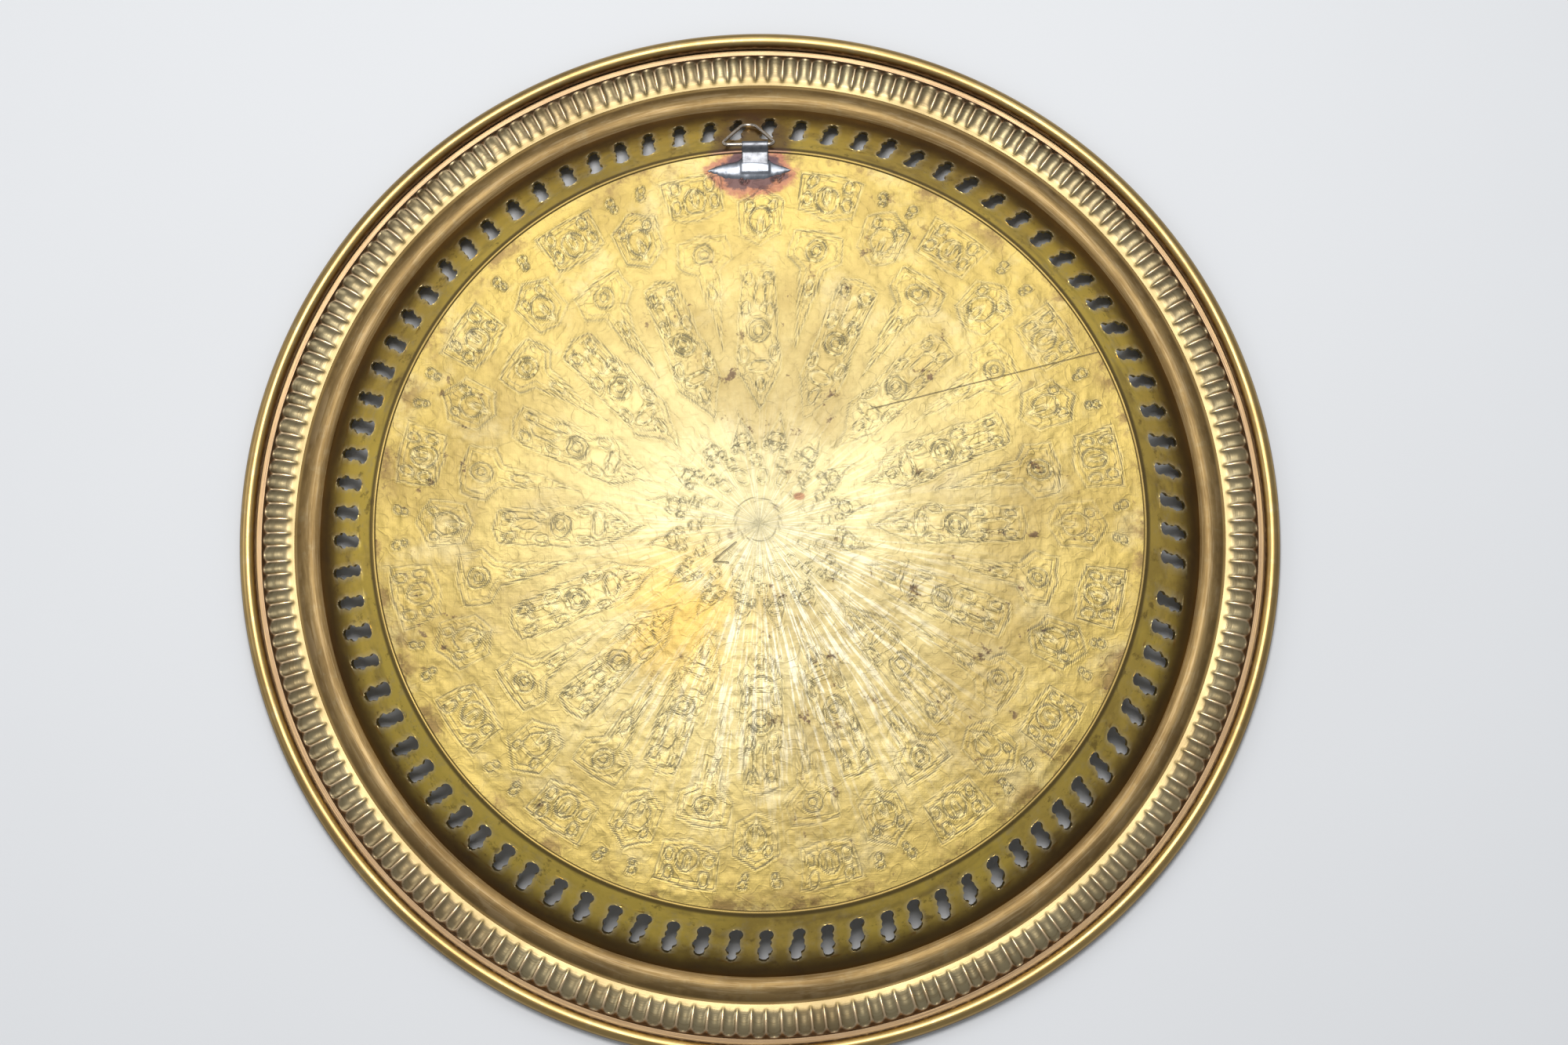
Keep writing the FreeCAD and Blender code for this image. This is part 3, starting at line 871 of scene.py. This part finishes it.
def stain_disc(finish, cloud, patch):
    """An orange stain, dark specks, and grime along the disc's border."""
    stain = finish.product(finish.near((-22, -26), 34), finish.step(patch, 0.35, 0.55))
    finish.paint(stain, (0.44, 0.28, 0.045), 0.8)
    specks = finish.product(finish.patches(170, 4, 0.7, 0.61, 0.69),
                            finish.step(cloud, 0.44, 0.60))
    finish.paint(specks, (0.07, 0.035, 0.02), 0.85)
    border = finish.step(finish.distance_out(), (step_radius - 7) * MM, step_radius * MM)
    grime = finish.product(border, finish.patches(90, 5, 0.7, 0.48, 0.62))
    finish.paint(grime, (0.13, 0.075, 0.025), 0.8)


def heat_disc(finish):
    """Red and black brass round the solder, where it was heated."""
    heated = finish.math("ADD", finish.near((-1, 104.5), 23, (1, 1.9, 0)),
                         finish.product(finish.noise(190, 5, 0.7), 0.9))
    finish.paint(finish.step(heated, 0.74, 0.96), (0.22, 0.07, 0.055), 0.8)
    finish.paint(finish.step(heated, 1.0, 1.14), (0.05, 0.028, 0.032), 0.85)
    shoulders = finish.math("ADD", finish.near((-1.2, 108.5), 13, (1, 2.4, 0)),
                            finish.product(finish.noise(260, 4, 0.65), 0.6))
    finish.paint(finish.step(shoulders, 0.62, 0.86), (0.045, 0.022, 0.03), 0.85)


def mark_disc(finish):
    """A long scratch, a scored tick and a red spot. Returns where the metal is cut."""
    marks = finish.stroke((110, 52), (31, 33), 0.22)
    for start, end in (((-6.6, -5.0), (-13.5, -10.6)), ((-13.5, -10.8), (-8.9, -11.1))):
        marks = finish.math("MAXIMUM", marks, finish.stroke(start, end, 0.35))
    finish.paint(marks, (0.09, 0.06, 0.03), 0.5)
    spot = finish.step(finish.near((11.5, 8), 2.6, (1, 1.5, 0)), 0.1, 0.5)
    finish.paint(spot, (0.22, 0.07, 0.04), 0.7)
    return marks


def bump_disc(finish, lines, scroll, rays, marks):
    """Fine relief: scrolls, the pattern's lines, scratches, grain and cut marks."""
    grain = finish.noise(620, 3, 0.6)
    scratches = finish.noise(1.0, 4, 0.7, finish.stretched((2600, 130, 1), 33))
    more = finish.noise(1.0, 4, 0.7, finish.stretched((130, 2300, 1), 12))
    finish.bump(scroll, 0.06, 0.6)
    finish.bump(lines, 0.4, 1.0)
    finish.bump(finish.math("ADD", scratches, more), 0.04, 0.7)
    middle_rays = finish.product(rays, finish.near((0, 0), 70))
    finish.bump(finish.math("ADD", grain, middle_rays), 0.08, 0.7)
    finish.bump(finish.math("SUBTRACT", 1.0, marks), 0.12, 0.8)


def gallery_brass():
    """The gallery: golden near the disc, with painted shade in purple brown towards its foot."""
    finish = brass("brass_gallery", (0.72, 0.52, 0.10), 0.40)
    gilt = finish.patches(55, 5, 0.65, 0.48, 0.6)
    finish.paint(gilt, (0.90, 0.65, 0.14), 0.35)
    out = finish.distance_out()
    # Painted shade: purple brown towards the gallery's foot in the valley, with a wobbly edge.
    shade_edge_wobble = finish.product(finish.noise(70, 4, 0.6), 4 * MM)
    foot = finish.step(finish.math("ADD", out, shade_edge_wobble),
                       (valley_radius - 7.5) * MM, (valley_radius + 0.5) * MM)
    finish.paint(foot, (0.055, 0.03, 0.02), 0.9)
    dirt = finish.product(finish.patches(210, 4, 0.7, 0.56, 0.7), 0.6)
    finish.paint(dirt, (0.13, 0.08, 0.03))
    ring = finish.step(out, (disc_edge + 1.2) * MM, (disc_edge + 0.4) * MM)
    finish.paint(ring, (0.15, 0.105, 0.04), 0.9)
    finish.paint(finish.value("bare"), (0.80, 0.70, 0.48), 0.35)
    heat = finish.step(finish.math("ADD", finish.near((-1, 114), 24),
                                   finish.product(finish.noise(120, 4, 0.6), 0.5)), 0.55, 0.9)
    finish.paint(heat, (0.12, 0.06, 0.06), 0.7)
    finish.bump(finish.noise(500, 3, 0.6), 0.05, 0.5)
    return finish.material


def band_brass():
    """The band: tan, with long brushed streaks."""
    finish = brass("brass_band", (0.42, 0.29, 0.125), 0.60)
    lines = finish.noise(1.0, 4, 0.7, finish.around(9, 900))
    finish.paint(finish.step(lines, 0.46, 0.58), (0.23, 0.15, 0.06), 0.5)
    pale = finish.noise(1.0, 4, 0.7, finish.around(6, 1500))
    finish.paint(finish.step(pale, 0.5, 0.62), (0.62, 0.47, 0.27), 0.4)
    out = finish.distance_out()
    # Painted shade in the groove between the band and the flutes.
    trench = finish.step(out, (band_radius - 0.5) * MM, (band_radius + 0.4) * MM)
    finish.paint(trench, (0.14, 0.09, 0.03), 0.75)
    return finish.material


def flute_brass():
    """The flutes: greyish in their troughs, with pale pinkish ridges between them as a painted
    highlight, partly wear, and painted shade at their inner ends.
    """
    finish = brass("brass_flutes", (0.42, 0.34, 0.19), 0.34)
    finish.shader.inputs["Coat Weight"].default_value = 0.2
    finish.shader.inputs["Coat Roughness"].default_value = 0.2
    # Painted highlight, partly wear: pale pink on the ridges between the flutes.
    finish.paint(finish.value("crests"), (0.84, 0.62, 0.38), 0.75)
    out = finish.distance_out()
    # Painted shade: dark where the flutes' inner ends meet the groove.
    foot = finish.step(out, (flute_inner + 3.0) * MM, (flute_inner + 1.2) * MM)
    finish.paint(foot, (0.14, 0.10, 0.035), 0.85)
    return finish.material


def rim_brass():
    """The lip and rolled edge: worn bright on top, with brown painted shade in the seam under the
    bead and along its outer edge.
    """
    finish = brass("brass_rim", (0.44, 0.30, 0.115), 0.34)
    out = finish.distance_out()
    low = finish.step(out, (rim_circle - 1.0) * MM, (rim_circle - 2.0) * MM)
    # Painted shade in the seam between the lip and the bead.
    seam = finish.product(low, finish.step(out, (lip_radius + 1.2) * MM, (lip_radius + 1.6) * MM))
    lip = finish.step(out, (lip_radius + 2.2) * MM, (lip_radius + 0.8) * MM)
    finish.paint(lip, (0.24, 0.16, 0.10), 0.8)
    finish.paint(seam, (0.04, 0.02, 0.015), 0.85)
    # Painted shade along the bead's outer edge.
    edge = finish.step(out, (tray_radius - 0.5) * MM, (tray_radius - 0.1) * MM)
    finish.paint(edge, (0.05, 0.035, 0.02), 0.85)
    return finish.material


def plain_metal(name, colour, roughness):
    """Grey metal with stains and fine scratches."""
    finish = Finish(name, colour, 1.0, roughness)
    cloud = finish.noise(420, 5, 0.6)
    finish.paint(finish.product(finish.step(cloud, 0.45, 0.7), 0.6),
                 tuple(0.4 * part for part in colour))
    finish.bump(finish.noise(1500, 3, 0.6), 0.03, 0.6)
    finish.roughen(finish.math("ADD", finish.product(cloud, 0.3), roughness - 0.15))
    return finish.material


# ---------------------------------------------------------------- floor, light, camera
def stage():
    """A wide pale floor at the height the tray lies on."""
    bpy.ops.mesh.primitive_plane_add(size=6, location=(0, 0, 0))
    floor = bpy.context.object
    floor.name = "floor"
    finish = Finish("pale_floor", (0.71, 0.725, 0.75), 0.0, 0.6)
    finish.paint(finish.patches(9, 3, 0.5, 0.4, 0.7), (0.67, 0.68, 0.70), 0.15)
    finish.bump(finish.noise(700, 2, 0.5), 0.03, 0.3)
    floor.data.materials.append(finish.material)


def area_light(name, place, size, power, colour):
    data = bpy.data.lights.new(name, "AREA")
    data.shape = "DISK"
    data.size = size
    data.energy = power
    data.color = colour
    light = bpy.data.objects.new(name, data)
    light.location = place
    light.rotation_euler = (-Vector(place)).to_track_quat("-Z", "Y").to_euler()
    light.visible_camera = False
    bpy.context.scene.collection.objects.link(light)


def lights():
    area_light("key_light", (-0.03, 0.28, 1.15), 0.45, 8.5, (1.0, 0.98, 0.95))
    area_light("upper_light", (0.15, 1.0, 1.1), 0.8, 3.0, (0.95, 0.98, 1.0))
    area_light("side_light", (-1.4, 0.3, 0.9), 1.0, 3.0, (1.0, 0.99, 0.97))
    world = bpy.data.worlds.new("studio")
    world.use_nodes = True
    background = world.node_tree.nodes["Background"]
    background.inputs["Color"].default_value = (0.93, 0.96, 1.0, 1)
    background.inputs["Strength"].default_value = 0.38
    bpy.context.scene.world = world


def camera():
    """The photograph's view: from just above the tray's lower edge, looking down."""
    data = bpy.data.cameras.new("camera")
    data.sensor_width = 36
    data.lens = 72
    data.clip_start = 0.01
    data.clip_end = 100
    view = bpy.data.objects.new("camera", data)
    turn = math.radians(-0.78)
    aside, back, height = 0.046, -0.986, 5.949     # in tray radii, before the turn
    view.location = (
        (aside * math.cos(turn) - back * math.sin(turn)) * tray_radius * MM,
        (aside * math.sin(turn) + back * math.cos(turn)) * tray_radius * MM,
        (height * tray_radius + roll_radius) * MM)
    view.rotation_euler = (math.radians(9.61), 0, turn)
    bpy.context.scene.collection.objects.link(view)
    bpy.context.scene.camera = view


def main():
    materials = {"disc": disc_brass(), "gallery": gallery_brass(), "band": band_brass(),
                 "flutes": flute_brass(), "rim": rim_brass(),
                 "strap": plain_metal("tinned_strap", (0.17, 0.175, 0.19), 0.40),
                 "ring": plain_metal("worn_wire", (0.50, 0.44, 0.37), 0.26),
                 "solder": plain_metal("soft_solder", (0.32, 0.34, 0.38), 0.42),
                 "wire": plain_metal("drawn_iron", (0.42, 0.41, 0.40), 0.40)}
    disc(materials)
    gallery(materials)
    band(materials)
    flutes(materials)
    rim(materials)
    strap(materials)
    ring(materials)
    solder(materials)
    wire = frame["nodes"]["rim_wire"]
    wire.data.materials.clear()
    wire.data.materials.append(materials["wire"])
    stage()
    lights()
    camera()
    bpy.context.scene.view_settings.view_transform = "Standard"


main()
